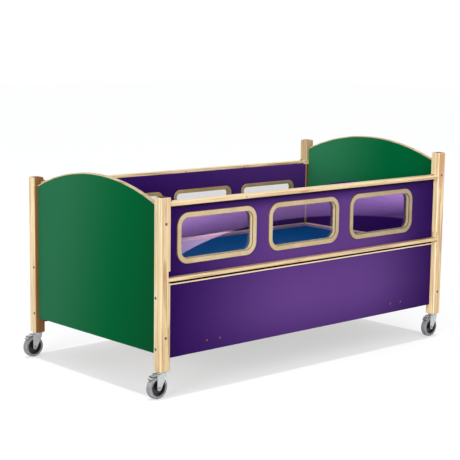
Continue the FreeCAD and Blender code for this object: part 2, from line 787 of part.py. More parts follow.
def headed(name, turn, outward, start, shank_radius, length, head_radius, head_tall):
    """A round-headed fastener whose head stands on the face at start, outward +1 or -1 along its axis."""
    x, y, z = start
    if turn is X_AXIS:
        shank_start = (x if outward < 0 else "%s - (%s)" % (x, length), y, z)
        head_turn = X_AXIS if outward > 0 else FreeCAD.Rotation(FreeCAD.Vector(0, 1, 0), -90)
    else:
        shank_start = (x, y if outward < 0 else "%s - (%s)" % (y, length), z)
        head_turn = Y_AXIS if outward > 0 else FreeCAD.Rotation(FreeCAD.Vector(1, 0, 0), 90)
    shank = rod(name + "_shank", turn, shank_radius, shank_start, length)
    narrow = "%s - %s" % (head_radius, head_tall)
    head = taper(name + "_head", head_turn, head_radius, narrow, start, head_tall)
    return fused(name, [shank, head])


bolts = []
for place, (end, side) in CORNERS.items():
    for level in ("side_bolt_low", "side_bolt_high"):
        bolts.append(headed("bolt_x", X_AXIS, end, (signed(end, END_X), signed(side, BOARD_MID), level),
                            "bolt_radius", "post_size + bolt_grip", "bolt_head_radius", "bolt_head_tall"))
    for level in END_BOLTS[end]:
        bolts.append(headed("bolt_y", Y_AXIS, side, (signed(end, POST_X), signed(side, SIDE_Y), level),
                            "bolt_radius", "post_size + bolt_grip", "bolt_head_radius", "bolt_head_tall"))
keep(gathered("bolts_group", bolts), "frame_bolts")

screws = []
for side in (-1, 1):
    for across in SCREW_PLACES:
        start = (across, signed(side, BOARD_OUT), SCREW_Z)
        screws.append(headed("screw", Y_AXIS, side, start, "screw_radius", SCREW_GRIP,
                             "screw_head_radius", "screw_head_tall"))
keep(gathered("screws_group", screws), "cross_bar_screws")


# ---- Castors: swivel axis through the local origin, wheel trailing towards the foot end ----

def make_fork(name):
    body = new_body(name)
    sketch = sketch_on(body, "Z", CROWN_TOP, FORK_TOP)
    circle(sketch, "0", "0", "race_radius")
    add_pad(body, sketch, CROWN_TOP, FORK_TOP)
    block(body, "Z", ("-crown_rear", "leg_front"), ("-" + LEG_OUT, LEG_OUT), (CROWN_FLOOR, CROWN_TOP))
    bores(body, "Z", [("0", "0")], "stem_radius + running_clearance", (CROWN_FLOOR, FORK_TOP))
    for side in (-1, 1):
        deep = span(side, LEG_IN, LEG_OUT)
        sketch = sketch_on(body, "Y", *deep)
        outline_leg(sketch)
        circle(sketch, "-pedal_pivot_back", PEDAL_Z, "pedal_pin_radius + running_clearance")
        circle(sketch, "-axle_trail", AXLE_Z, "axle_radius + running_clearance")
        add_pad(body, sketch, *deep)
    return body


def outline_leg(sketch):
    """Tapered leg: level top, sloping front edge and a round end about the axle."""
    axle = spot("-axle_trail", AXLE_Z)
    rear_top = spot("-leg_rear", CROWN_TOP)
    front_top = spot("leg_front", CROWN_TOP)
    shoulder = spot("leg_front", "-leg_shoulder")
    round_radius = measured("leg_end_radius")
    reach = shoulder - axle
    turn = math.atan2(reach.y, reach.x) - math.acos(round_radius / reach.Length)
    touch = axle + FreeCAD.Vector(math.cos(turn), math.sin(turn), 0) * round_radius
    rear_low = axle - FreeCAD.Vector(round_radius, 0, 0)
    sketch.addGeometry(Part.LineSegment(rear_top, front_top))
    sketch.addGeometry(Part.LineSegment(front_top, shoulder))
    sketch.addGeometry(Part.LineSegment(shoulder, touch))
    sketch.addGeometry(Part.LineSegment(rear_low, rear_top))
    round_end = Part.Circle(axle, FreeCAD.Vector(0, 0, 1), round_radius)
    sketch.addGeometry(Part.ArcOfCircle(round_end, math.pi, 2 * math.pi + turn))
    fix(sketch, "Coincident", 0, 2, 1, 1)
    fix(sketch, "Coincident", 1, 2, 2, 1)
    fix(sketch, "Coincident", 3, 2, 0, 1)
    fix(sketch, "Tangent", 2, 2, 4, 2)
    fix(sketch, "Tangent", 3, 1, 4, 1)
    fix(sketch, "Horizontal", 0)
    fix(sketch, "Vertical", 1)
    fix(sketch, "DistanceX", -1, 1, 3, 2, value="-leg_rear")
    fix(sketch, "DistanceX", -1, 1, 4, 3, value="-axle_trail")
    fix(sketch, "DistanceY", -1, 1, 4, 3, value=AXLE_Z)
    fix(sketch, "Radius", 4, value="leg_end_radius")
    fix(sketch, "DistanceY", -1, 1, 0, 1, value=CROWN_TOP)
    fix(sketch, "DistanceX", -1, 1, 1, 1, value="leg_front")
    fix(sketch, "DistanceY", -1, 1, 1, 2, value="-leg_shoulder")


def make_axle(name):
    start = ("-axle_trail", "-(%s + nut_tall)" % LEG_OUT, AXLE_Z)
    shaft = rod(name + "_shaft", Y_AXIS, "axle_radius", start, "2 * (%s + nut_tall)" % LEG_OUT)
    head = hexagon(name + "_head", Y_AXIS, "nut_radius", start, "nut_tall")
    nut = hexagon(name + "_nut", Y_AXIS, "nut_radius", ("-axle_trail", LEG_OUT, AXLE_Z), "nut_tall")
    return fused(name, [shaft, head, nut])


def turned(body, profile):
    """A body of revolution about its own Y axis, from a profile of radius and place along Y."""
    plane = [f for f in body.Origin.OriginFeatures if f.Role == "XY_Plane"][0]
    sketch = body.newObject("Sketcher::SketchObject", body.Name + "_profile")
    sketch.AttachmentSupport = (plane, [""])
    sketch.MapMode = "FlatFace"
    polygon(sketch, profile)
    turn = body.newObject("PartDesign::Revolution", body.Name + "_turn")
    turn.Profile = sketch
    turn.ReferenceAxis = (sketch, ["V_Axis"])
    turn.Angle = 360
    doc.recompute()
    return turn


def make_wheel(name):
    body = new_body(name)
    bore = "axle_radius + running_clearance"
    hub_half = "(%s - hub_side_gap)" % LEG_IN
    half = [
        (bore, hub_half),
        ("hub_radius", hub_half),
        ("hub_radius + 1", "web_thickness / 2"),
        ("rim_inner_radius - 1", "web_thickness / 2"),
        ("rim_inner_radius", "rim_width / 2"),
        ("core_radius", "rim_width / 2"),
    ]
    other_half = [(radius, "-(%s)" % along) for radius, along in reversed(half)]
    turned(body, half + other_half)
    return body


def make_tyre(name):
    body = new_body(name)
    turned(body, [("core_radius", "-tyre_width / 2"), ("tyre_radius", "-tyre_width / 2"),
                  ("tyre_radius", "tyre_width / 2"), ("core_radius", "tyre_width / 2")])
    outer = ["Edge%d" % i for i, edge in enumerate(body.Tip.Shape.Edges, start=1)
             if isinstance(edge.Curve, Part.Circle) and abs(edge.Curve.Radius - dims.tyre_radius) < 0.01]
    round_over(body, outer, "tyre_round")
    return body


def outline_hood(sketch):
    """Curved plate that follows the tyre at a distance, from the pivot round to its lip."""
    axle = spot("-axle_trail", AXLE_Z)
    root = measured("pedal_pivot_back - axle_trail")
    reach = measured("hood_reach - axle_trail")
    ends = []
    for index, radius in enumerate(("tyre_radius + hood_gap", "tyre_radius + hood_gap + hood_thickness")):
        ring = Part.Circle(axle, FreeCAD.Vector(0, 0, 1), measured(radius))
        start = math.pi / 2 + math.asin(root / ring.Radius)
        stop = math.pi / 2 + math.asin(reach / ring.Radius)
        sketch.addGeometry(Part.ArcOfCircle(ring, start, stop))
        ends.append((sketch.Geometry[index].StartPoint, sketch.Geometry[index].EndPoint))
    sketch.addGeometry(Part.LineSegment(ends[1][1], ends[0][1]))
    sketch.addGeometry(Part.LineSegment(ends[0][0], ends[1][0]))
    fix(sketch, "Coincident", 0, 3, 1, 3)
    fix(sketch, "Coincident", 1, 2, 2, 1)
    fix(sketch, "Coincident", 0, 2, 2, 2)
    fix(sketch, "Coincident", 0, 1, 3, 1)
    fix(sketch, "Coincident", 1, 1, 3, 2)
    fix(sketch, "PointOnObject", 0, 3, 2)
    fix(sketch, "Vertical", 3)
    fix(sketch, "DistanceX", -1, 1, 0, 3, value="-axle_trail")
    fix(sketch, "DistanceY", -1, 1, 0, 3, value=AXLE_Z)
    fix(sketch, "Radius", 0, value="tyre_radius + hood_gap")
    fix(sketch, "Radius", 1, value="tyre_radius + hood_gap + hood_thickness")
    fix(sketch, "DistanceX", -1, 1, 3, 1, value="-pedal_pivot_back")
    fix(sketch, "DistanceX", -1, 1, 1, 2, value="-hood_reach")


def make_pedal(name):
    """A hood round the tyre that brakes it, with a toe plate above, on one barrel and pin."""
    body = new_body(name)
    width = ("-pedal_width / 2", "pedal_width / 2")
    sketch = sketch_on(body, "Y", *width)
    outline_hood(sketch)
    add_pad(body, sketch, *width)
    toe_top = "%s + pedal_barrel_radius" % PEDAL_Z
    sketch = sketch_on(body, "Y", *width)
    polygon(sketch, [
        ("-pedal_pivot_back", toe_top),
        ("-toe_reach", "%s - toe_fall" % toe_top),
        ("-toe_reach", "%s - toe_fall - toe_thickness" % toe_top),
        ("-pedal_pivot_back", "%s - toe_thickness" % toe_top),
    ])
    add_pad(body, sketch, *width)
    barrel_half = "%s - hub_side_gap" % LEG_IN
    for radius, half in (("pedal_barrel_radius", barrel_half), ("pedal_pin_radius", LEG_OUT)):
        run = ("-(%s)" % half, half)
        sketch = sketch_on(body, "Y", *run)
        circle(sketch, "-pedal_pivot_back", PEDAL_Z, radius)
        add_pad(body, sketch, *run)
    return body


tops = []
for place, (end, side) in CORNERS.items():
    at_x = signed(end, POST_X)
    at_y = signed(side, POST_Y)
    stem = rod("stem_" + place, Z_AXIS, "stem_radius", (at_x, at_y, CROWN_FLOOR + " - seat_clearance"),
               "stem_length - (%s - seat_clearance)" % CROWN_FLOOR)
    race = rod("race_" + place, Z_AXIS, "race_radius", (at_x, at_y, "-race_tall"), "race_tall")
    rivet = rod("rivet_" + place, Z_AXIS, "rivet_radius",
                (at_x, at_y, "%s - seat_clearance - rivet_tall" % CROWN_FLOOR), "rivet_tall")
    tops.append(fused("castor_top_" + place, [stem, race, rivet]))
    keep(make_fork("fork_" + place), "castor_fork_" + place, at_x, at_y)
    keep(make_axle("axle_" + place), "castor_axle_" + place, at_x, at_y)
    axle_x = "%s - axle_trail" % at_x
    keep(make_wheel("wheel_" + place), "castor_wheel_" + place, axle_x, at_y, AXLE_Z)
    keep(make_tyre("tyre_" + place), "castor_tyre_" + place, axle_x, at_y, AXLE_Z)
    keep(make_pedal("pedal_" + place), "castor_pedal_" + place, at_x, at_y)
keep(gathered("castor_tops_group", tops), "castor_stems")


# ---- Check and write ----

doc.recompute()
for thing in doc.Objects:
    if "Invalid" in thing.State or "Error" in thing.State:
        raise RuntimeError("%s failed: %s" % (thing.Label, thing.State))
os.makedirs("parts", exist_ok=True)
for thing in subparts:
    shape = thing.Shape
    if shape.isNull() or not shape.isValid() or not shape.Solids:
        raise RuntimeError("%s has no valid solid" % thing.Label)
for thing in subparts:
    thing.Shape.exportStep("parts/%s.step" % thing.Label)
print(len(subparts), "sub-parts,", sum(len(thing.Shape.Solids) for thing in subparts), "solids")
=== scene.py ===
import math

import bpy
from mathutils import Matrix, Vector


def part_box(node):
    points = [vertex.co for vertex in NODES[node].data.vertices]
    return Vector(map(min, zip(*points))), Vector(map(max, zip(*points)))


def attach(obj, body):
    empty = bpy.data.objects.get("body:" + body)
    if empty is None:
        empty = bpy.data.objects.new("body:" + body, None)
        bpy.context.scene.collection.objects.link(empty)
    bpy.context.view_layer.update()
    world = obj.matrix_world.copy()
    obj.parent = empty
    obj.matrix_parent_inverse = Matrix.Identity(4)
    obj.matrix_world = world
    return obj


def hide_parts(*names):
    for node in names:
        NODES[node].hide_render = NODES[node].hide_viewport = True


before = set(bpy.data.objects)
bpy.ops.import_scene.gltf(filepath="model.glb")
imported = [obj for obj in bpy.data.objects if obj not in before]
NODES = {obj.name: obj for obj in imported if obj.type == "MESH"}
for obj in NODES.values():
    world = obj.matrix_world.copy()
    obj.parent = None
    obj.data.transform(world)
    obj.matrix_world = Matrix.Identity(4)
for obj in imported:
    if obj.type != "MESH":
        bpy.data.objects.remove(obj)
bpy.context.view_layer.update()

# Hospital cot: beech frame, coloured laminate boards, clear windows, zinc castors and a foam mattress.


# ---- Shader writing ----

class Channel:
    """One socket of a shader graph. Python's operators on it add Math nodes."""

    def __init__(self, graph, socket):
        self.graph = graph
        self.socket = socket

    def maths(self, operation, *values):
        sockets = {"_%d" % place: value for place, value in enumerate(values)}
        return self.graph.node("ShaderNodeMath", {"operation": operation}, **sockets)

    def __add__(self, other):
        return self.maths("ADD", self, other)

    def __radd__(self, other):
        return self.maths("ADD", other, self)

    def __sub__(self, other):
        return self.maths("SUBTRACT", self, other)

    def __rsub__(self, other):
        return self.maths("SUBTRACT", other, self)

    def __mul__(self, other):
        return self.maths("MULTIPLY", self, other)

    def __rmul__(self, other):
        return self.maths("MULTIPLY", other, self)

    def __pow__(self, other):
        return self.maths("POWER", self, other)

    def __gt__(self, other):
        return self.maths("GREATER_THAN", self, other)

    def __lt__(self, other):
        return self.maths("LESS_THAN", self, other)

    def __abs__(self):
        return self.maths("ABSOLUTE", self)

    def most(self, other):
        return self.maths("MAXIMUM", self, other)

    def least(self, other):
        return self.maths("MINIMUM", self, other)

    def sine(self):
        return self.maths("SINE", self)


class Graph:
    """A node tree written as expressions."""

    def __init__(self, tree):
        self.tree = tree
        self.tree.nodes.clear()

    def feed(self, socket, value):
        if isinstance(value, Channel):
            self.tree.links.new(value.socket, socket)
        elif socket.type == "RGBA" and len(value) == 3:
            socket.default_value = (*value, 1.0)
        else:
            socket.default_value = value

    def node(self, kind, settings=None, out=0, **inputs):
        """Any node: its settings first, then the values or links of its sockets, by name or as _number.
        Gives the socket named by out, or the node itself where it ends the tree."""
        made = self.tree.nodes.new(kind)
        for key, value in (settings or {}).items():
            setattr(made, key, value)
        for key, value in inputs.items():
            socket = made.inputs[int(key[1:])] if key[0] == "_" else made.inputs[key.replace("_", " ")]
            self.feed(socket, value)
        return Channel(self, made.outputs[out]) if made.outputs else made

    def blend(self, amount, first, second):
        return self.node("ShaderNodeMix", {"data_type": "RGBA"}, out=2, _0=amount, _6=first, _7=second)

    def spread(self, value, low, high):
        """Stretches the band low..high of a channel to 0..1, smoothly and without going outside."""
        return self.node("ShaderNodeMapRange", {"interpolation_type": "SMOOTHSTEP"}, out="Result",
                         Value=value, From_Min=low, From_Max=high)

    def plain_sight(self):
        """1 for rays that find the plain white surroundings: seen directly, mirrored or through glass."""
        seen, mirrored, through = [self.node("ShaderNodeLightPath", out="Is %s Ray" % kind)
                                   for kind in ("Camera", "Glossy", "Transmission")]
        return seen.most(mirrored).most(through)


class Finish(Graph):
    """A material of the cot on one Principled shader."""

    def __init__(self, name, **constants):
        self.material = bpy.data.materials.new(name)
        self.material.use_nodes = True
        super().__init__(self.material.node_tree)
        self.shader = self.node("ShaderNodeBsdfPrincipled", **constants)
        self.output = self.node("ShaderNodeOutputMaterial")
        self.surface(self.shader)

    def surface(self, shader):
        """What the material shows, the Principled shader until something else is named."""
        self.feed(self.output.inputs["Surface"], shader)

    def here(self):
        """Object coordinates in metres."""
        return self.node("ShaderNodeTexCoord", out="Object")

    def place(self, scale=(1, 1, 1), turn=(0, 0, 0)):
        """Object coordinates turned and stretched for a pattern."""
        return self.node("ShaderNodeMapping", Vector=self.here(), Scale=scale, Rotation=turn)

    def axes(self, vector):
        """The three parts of a vector as channels."""
        split = self.node("ShaderNodeSeparateXYZ", Vector=vector)
        return [Channel(self, socket) for socket in split.socket.node.outputs]

    def facing(self):
        """How far the surface faces along x, y and z, each 0 to 1."""
        return [abs(part) for part in self.axes(self.node("ShaderNodeTexCoord", out="Normal"))]

    def noise(self, where, scale, detail=3.0, rough=0.55, warp=0.0):
        return self.node("ShaderNodeTexNoise", Vector=where, Scale=scale, Detail=detail, Roughness=rough,
                         Distortion=warp)

    def bump(self, height, distance, strength=1.0):
        return self.node("ShaderNodeBump", Height=height, Distance=distance, Strength=strength)

    def wear(self, level=None, **links):
        """Links channels to the shader's sockets. level strengthens or dims the base colour first."""
        if level is not None:
            links["Base_Color"] = self.node("ShaderNodeHueSaturation", Value=level, Color=links["Base_Color"])
        for key, value in links.items():
            self.feed(self.shader.socket.node.inputs[key.replace("_", " ")], value)
        return self.material


def srgb(red, green, blue):
    """A colour as seen on a screen, turned to the light values that shaders use."""
    return tuple(c / 12.92 if c <= 0.04045 else ((c + 0.055) / 1.055) ** 2.4
                 for c in (red / 255, green / 255, blue / 255))


# ---- Places and tones that several finishes share; lengths in metres ----

BOARD_MIDDLE = 0.4935                 # |y| between the inner and the outer faces of the side boards
BOARD_FACE = 0.5027                   # |y| just outside the side boards
RAIL_GAP = (-0.4835, 0.4935)          # y beyond which the edging lies in the gap below a folding side
FOOT, HEAD = -1.0, 1.0                # x of the two ends
FRONT, BACK = -0.5, 0.5               # y of the two sides
BRAKE_TOE = (0.1062, 0.1068, 0.1096, 0.1106)   # z of the band of the brake pedal's toe plate that is painted dark as shade
BRAKE_LIP = (0.0965, 0.0985)          # z of the lip of its hood, below which it is painted dark as shade

# The edge tone is a painted highlight on the posts' rounded edges.
PALE, WARM, DARK, EDGE_HIGHLIGHT = srgb(229, 212, 174), srgb(216, 187, 138), srgb(150, 106, 52), srgb(250, 236, 204)
# The well brown is painted shade.
TOP_BROWN, END_BROWN, WELL_SHADE_BROWN = srgb(186, 140, 80), srgb(98, 50, 2), srgb(114, 62, 4)
# The reveal cream and the slit lilac are painted light; the near black for the pedal is painted shade.
REVEAL_PAINTED_LIGHT, SLIT_LIGHT_LILAC, PEDAL_SHADE_BLACK = srgb(244, 222, 180), srgb(214, 160, 212), srgb(34, 34, 36)
# Near black for painted shade.
SHADE_BLACK = (0.004, 0.002, 0.005)

# The studio's light is strong, so boards, castor plastics and the mattress cover are dimmed to this level.
DIMMED = 0.77


# ---- Wood ----

FIGURE = 22    # how many times finer the figure is across the grain than along it


def stretched(grain, across, along=1.0):
    """The scale of a pattern that runs along the grain."""
    return tuple(along if axis == grain else across * FIGURE for axis in "xyz")


def beech(name, grain, pale, warm, dark, edge, bright, under_rail=False):
    """Lacquered beech: arched figure and warm tone on the flat-sawn Y faces, straight pale grain on the
    others, fine pores, and rounded edges in the edge tone, which on the posts is a painted highlight. Painted
    light and shade even out the lamps: the wood is lifted towards the head end and the back side, the
    head-front post further and the head-back post darkened. Upright posts are brown on their end grain, and
    painted shade browns them where they face the mattress well. under_rail paints near-black shade on the
    upward face that lies in the gap below a folding side."""
    wood = Finish(name, Roughness=0.4, Specular_IOR_Level=0.3, Coat_Roughness=0.3)
    face_x, face_y, face_z = wood.facing()
    x, y, z = wood.axes(wood.here())
    bands = wood.noise(wood.place(stretched(grain, 0.9)), 1.5, 4, 0.6, 1.1)
    knots = wood.noise(wood.place(stretched(grain, 2.2)), 1.5, 3, 0.5)
    rings = abs((bands * 9.0 + knots * 3.0).sine())
    streaks = wood.noise(wood.place(stretched(grain, 2.6)), 2.0, 5, 0.62)
    pores = wood.noise(wood.place(stretched(grain, 18, 10)), 2.0, 2, 0.5)
    flat_sawn = wood.spread(face_y, 0.75, 0.95)
    tone = wood.blend(wood.spread(bands, 0.36, 0.66), pale, warm)
    tone = wood.blend(flat_sawn * 0.6, tone, warm)
    tone = wood.blend(wood.spread(rings, 0.66, 1.0) * (0.3 + flat_sawn * 0.32), tone, dark)
    lines = wood.spread(streaks, 0.45, 0.68)
    tone = wood.blend(lines * 0.6, tone, dark)
    spots = wood.spread(pores, 0.62, 0.72)
    tone = wood.blend(spots * 0.4, tone, dark)
    # Rounded edges take the edge tone, which on the posts is a painted highlight.
    corners = wood.spread(face_x * face_y + face_y * face_z + face_x * face_z, 0.1, 0.42)
    tone = wood.blend(corners * 0.34, tone, edge)
    # Painted light: the wood is lifted towards the head end and the back side, which the lamps light less.
    head, back = wood.spread(x, FOOT, HEAD), wood.spread(y, FRONT, BACK)
    gain = bright + 0.04 + head * 0.08 + back * 0.14
    end_grain = 0.0
    if grain == "z":
        # Painted light and shade on the posts: the head-front one is lifted, most on its X face below the
        # top, and the head-back one darkened.
        below_top = face_x * wood.spread(0.95 - z, 0.0, 0.1)
        gain = gain + head * (1.0 - back) * (0.12 + below_top * 0.31) - head * back * 0.32
        tone = wood.blend(flat_sawn * head * wood.spread(z, 0.84, 0.96) * 0.6, tone, TOP_BROWN)
        end_grain = wood.spread(face_z, 0.8, 0.95)
        tone = wood.blend(end_grain, tone, END_BROWN)
        # Painted shade: the posts turn brown where they face the mattress well.
        well = wood.spread(abs(y), 0.484, 0.4795) * ((x < 0) + (z < 0.885))
        tone = wood.blend(well.least(1.0) * 0.9, tone, WELL_SHADE_BROWN)
    if under_rail:
        # Painted shade: near black on the edging's upward face in the gap below the rail.
        gap = (face_z > 0.8) * ((y < RAIL_GAP[0]) + (y > RAIL_GAP[1]))
        tone = wood.blend(gap * 0.93, tone, SHADE_BLACK)
    relief = streaks * 0.6 + pores * 0.4
    return wood.wear(level=gain, Base_Color=tone, Coat_Weight=(1.0 - end_grain) * 0.08,
                     Roughness=0.34 + lines * 0.14 + spots * 0.12 + end_grain * 0.5,
                     Normal=wood.bump(relief, 0.0003, 0.5))


# ---- Coloured laminate ----

def laminate(name, deep, light, scuff, sheen, shade=None, painted_tone=SHADE_BLACK, inside=0.0, gloss=0.03):
    """Satin laminate on board. sheen gives, from the three coordinates, where a painted sheen lightens the
    colour, and shade where it turns to the given tone: painted shade where that tone is dark, painted light
    where it is light. inside adds painted light to the sides' inner faces."""
    board = Finish(name, Roughness=0.42, Specular_IOR_Level=gloss)
    x, y, z = board.axes(board.here())
    cloud = board.noise(board.place(), 2.3, 2, 0.5)
    mottle = board.noise(board.place(), 60, 3, 0.6)
    rubs = board.spread(board.noise(board.place((3, 3, 22)), 3.0, 4, 0.6, 0.4), 0.66, 0.82)
    # Painted sheen: the deep colour lightens towards the light one where sheen is high.
    amount = sheen(board, x, y, z) * (0.94 + cloud * 0.12)
    tone = board.blend(amount, deep, light)
    tone = board.blend(rubs * 0.02 + board.spread(mottle, 0.5, 0.8) * 0.015, tone, scuff)
    # Painted shade where the given tone is dark, painted light where it is light.
    if shade:
        tone = board.blend(shade(board, x, y, z), tone, painted_tone)
    pebble = board.noise(board.place(), 900, 2, 0.5)
    # inside lifts the sides' inner faces with painted light.
    return board.wear(level=DIMMED + (abs(y) < BOARD_MIDDLE) * inside, Base_Color=tone,
                      Roughness=0.4 + mottle * 0.08 + rubs * 0.08, Normal=board.bump(pebble, 0.00012, 0.35))


def lower_sheen(board, x, y, z):
    """A painted sheen: a broad light middle that fades towards both ends and the bottom."""
    across = board.spread(x, -1.02, -0.02) * (1.0 - board.spread(x, 0.36, 1.12))
    return across * (0.45 + board.spread(z, 0.1, 0.36) * 0.55 - board.spread(z, 0.36, 0.56) * 0.12)


def upper_sheen(board, x, y, z):
    """Painted sheen: on the outer face a broad light middle, cut back by painted shade under the rail; on
    the inner face a slow rise towards the head end.
    """
    across = board.spread(x, -1.0, -0.1) * (1.0 - board.spread(x, 0.4, 0.99))
    under_rail = 1.0 - board.spread(z, 0.81, 0.888)
    outer = across * (0.1 + under_rail * 0.8)
    inner = board.spread(x, -0.9, 1.2) * 0.45
    outside = abs(y) > BOARD_MIDDLE
    return outside * outer + (1.0 - outside) * inner


def rail_shade(board, x, y, z):
    """Painted shade on the outer face: the strip below the top rail and the one behind the gap under the
    lower rail.
    """
    strips = board.spread(z, 0.862, 0.884) * 0.8 + (1.0 - board.spread(z, 0.5395, 0.5425))
    return strips * (abs(y) > BOARD_MIDDLE)


def end_sheen(board, x, y, z):
    """Painted sheen: the end boards lighten towards the back side."""
    return board.spread(y + z * 0.2 - x * 0.05, -0.07, 0.57)


def end_shade(board, x, y, z):
    """Painted shade: the end boards darken towards the front side."""
    return (1.0 - board.spread(y + z * 0.2, -0.45, 0.0)) * 0.3


def lit_slit(board, x, y, z):
    """Painted light on the strip of the mattress well between the mattress and the edging above it."""
    return (z > 0.5) * (z < 0.5205) * (abs(y) < BOARD_MIDDLE)


def liner_sheen(board, x, y, z):
    """A faint painted sheen rising towards the back side."""
    return board.spread(y, -1.2, 1.6) * 0.4


# ---- Plastics, metals, glass and cloth ----

def moulding(name, pale, warm, line, rim_shade):
    """Satin window frame with a drawn grain, with painted shade on its rounded rims and painted light in its
    reveal; painted shade also dims it towards the head end.
    """
    skin = Finish(name, Roughness=0.42, Specular_IOR_Level=0.25)
    face_y = skin.facing()[1]
    cloud = skin.noise(skin.place((1, 1, 1), (0, 0.6, 0)), 9, 4, 0.6)
    lines = skin.noise(skin.place((14, 14, 150)), 1.2, 4, 0.6)
    grit = skin.noise(skin.place(), 700, 2, 0.5)
    tone = skin.blend(skin.spread(cloud, 0.3, 0.7), pale, warm)
    tone = skin.blend(skin.spread(lines, 0.5, 0.75) * 0.35, tone, line)
    tone = skin.blend(skin.spread(grit, 0.55, 0.8) * 0.12, tone, line)
    x, y = skin.axes(skin.here())[:2]
    outside = abs(y) > BOARD_FACE
    # Painted shade on the rounded rims outside the board.
    tone = skin.blend(skin.spread(1.0 - face_y, 0.03, 0.35) * outside * 0.95, tone, rim_shade)
    # Painted light: the reveal inside the board turns pale cream.
    reveal = (1.0 - outside) * (face_y < 0.5)
    tone = skin.blend(reveal * 0.8, tone, REVEAL_PAINTED_LIGHT)
    # Painted shade: the frames dim towards the head end.
    return skin.wear(level=0.8 - skin.spread(x, -0.3, 0.9) * 0.26, Base_Color=tone,
                     Roughness=0.38 + cloud * 0.12, Normal=skin.bump(grit, 0.0001, 0.4))


def clear_sheet(name, tint):
    """Polished acrylic with the slightest haze."""
    sheet = Finish(name, Base_Color=tint, Transmission_Weight=1.0, IOR=1.49)
    haze = sheet.noise(sheet.place(), 14, 3, 0.6)
    return sheet.wear(Roughness=haze * 0.006)


def plated(name, tone, other, rough, grain=40, shade_mask=None, bare=1.0):
    """Zinc plating: crystalline patches, a drawn grain and dull rubbed spots. An optional mask, from the
    three coordinates, gives where painted shade turns it near black, and bare is how much of it shines as
    bare metal."""
    metal = Finish(name, Metallic=bare, Roughness=rough)
    where = metal.place((grain, grain, grain))
    patches = metal.node("ShaderNodeTexVoronoi", out="Color", Vector=where, Scale=6.0)
    grey = metal.node("ShaderNodeSeparateColor", Color=patches)
    smear = metal.noise(where, 1.6, 4, 0.6)
    colour = metal.blend(grey * 0.5 + smear * 0.5, tone, other)
    if shade_mask:
        # Painted shade: near black where the mask gives it.
        colour = metal.blend(shade_mask(metal, *metal.axes(metal.here())), colour, PEDAL_SHADE_BLACK)
    return metal.wear(Base_Color=colour, Roughness=rough - 0.08 + grey * 0.08 + smear * 0.16,
                      Normal=metal.bump(smear, 0.0001, 0.3))


def pedal_shade(metal, x, y, z):
    """Painted shade on the end of the toe plate and on the lip of the hood below it."""
    toe = metal.spread(z, *BRAKE_TOE[:2]) * (1.0 - metal.spread(z, *BRAKE_TOE[2:]))
    return toe.most(1.0 - metal.spread(z, *BRAKE_LIP)) * 0.85


def core_plastic():
    """Black moulded wheel centre, dusty in patches."""
    black = Finish("wheel_core", Roughness=0.5)
    grit = black.noise(black.place(), 520, 3, 0.6)
    dust = black.spread(black.noise(black.place(), 60, 4, 0.6), 0.55, 0.75)
    tone = black.blend(dust * 0.4, srgb(30, 30, 33), srgb(58, 58, 62))
    return black.wear(level=DIMMED, Base_Color=tone, Roughness=0.42 + dust * 0.2,
                      Normal=black.bump(grit, 0.0002, 0.5))


def tyre_rubber():
    """Soft grey tread with floor dust."""
    grey = Finish("tyre_tread", Roughness=0.62)
    dust = grey.spread(grey.noise(grey.place(), 45, 4, 0.6), 0.4, 0.7)
    grit = grey.noise(grey.place(), 650, 2, 0.6)
    tone = grey.blend(dust, srgb(138, 138, 140), srgb(164, 164, 166))
    return grey.wear(level=DIMMED, Base_Color=tone, Roughness=0.56 + dust * 0.16,
                     Normal=grey.bump(grit, 0.0002, 0.6))


def cover_fabric():
    """Wipe-clean coated weave of the mattress cover, with soft creases."""
    cloth = Finish("mattress_cover", Roughness=0.5, Specular_IOR_Level=0.02)
    weave = 1.0
    for direction in "XY":
        weave = weave * cloth.node("ShaderNodeTexWave", {"bands_direction": direction}, out="Fac",
                                   Vector=cloth.place(), Scale=210.0, Distortion=0.6)
    creases = cloth.noise(cloth.place((1, 2.2, 1)), 6, 4, 0.55, 0.8)
    tone = cloth.blend(cloth.spread(creases, 0.35, 0.7), srgb(4, 66, 124), srgb(10, 77, 140))
    tone = cloth.blend(weave * 0.2, tone, srgb(20, 90, 150))
    return cloth.wear(level=DIMMED, Base_Color=tone, Roughness=0.46 + creases * 0.14,
                      Normal=cloth.bump(weave * 0.3 + creases, 0.0025, 0.35))


WOOD = {axis: beech("beech_along_" + axis, axis, PALE, WARM, DARK, EDGE_HIGHLIGHT if axis == "z" else WARM, bright)
        for axis, bright in (("x", 0.92), ("y", 0.8), ("z", 0.85))}
# The two arch edgings are one beech at two brightness levels: painted shade on the foot arch, which the key
# lamp lights most.
FOOT_ARCH, HEAD_ARCH = [beech(name, "y", PALE, WARM, DARK, WARM, bright)
                        for name, bright in (("foot_arch_edging", 0.58), ("head_arch_edging", 0.72))]
# The inner edging is made brighter than the rest of the wood: painted light, as much of it lies in shade
# inside the cot. It also takes the painted shade below the rails.
LIGHTENED_INNER_EDGING = beech("inner_edging", "x", PALE, PALE, WARM, PALE, 1.05, under_rail=True)
# The open purple is the tone that the painted sheen lightens the deep purple towards.
DEEP_PURPLE, OPEN_PURPLE, PURPLE_SCUFF = srgb(42, 8, 84), srgb(101, 64, 137), srgb(150, 120, 180)
# The lower boards take painted light in the strip of the well above the mattress.
LOWER_PURPLE = laminate("purple_lower_board", DEEP_PURPLE, OPEN_PURPLE, PURPLE_SCUFF, lower_sheen,
                        shade=lit_slit, painted_tone=SLIT_LIGHT_LILAC)
# The upper boards' inner faces are lifted by painted light, and painted shade lies under the rails.
UPPER_PURPLE = laminate("purple_upper_board", DEEP_PURPLE, OPEN_PURPLE, PURPLE_SCUFF, upper_sheen,
                        shade=rail_shade, inside=0.25)
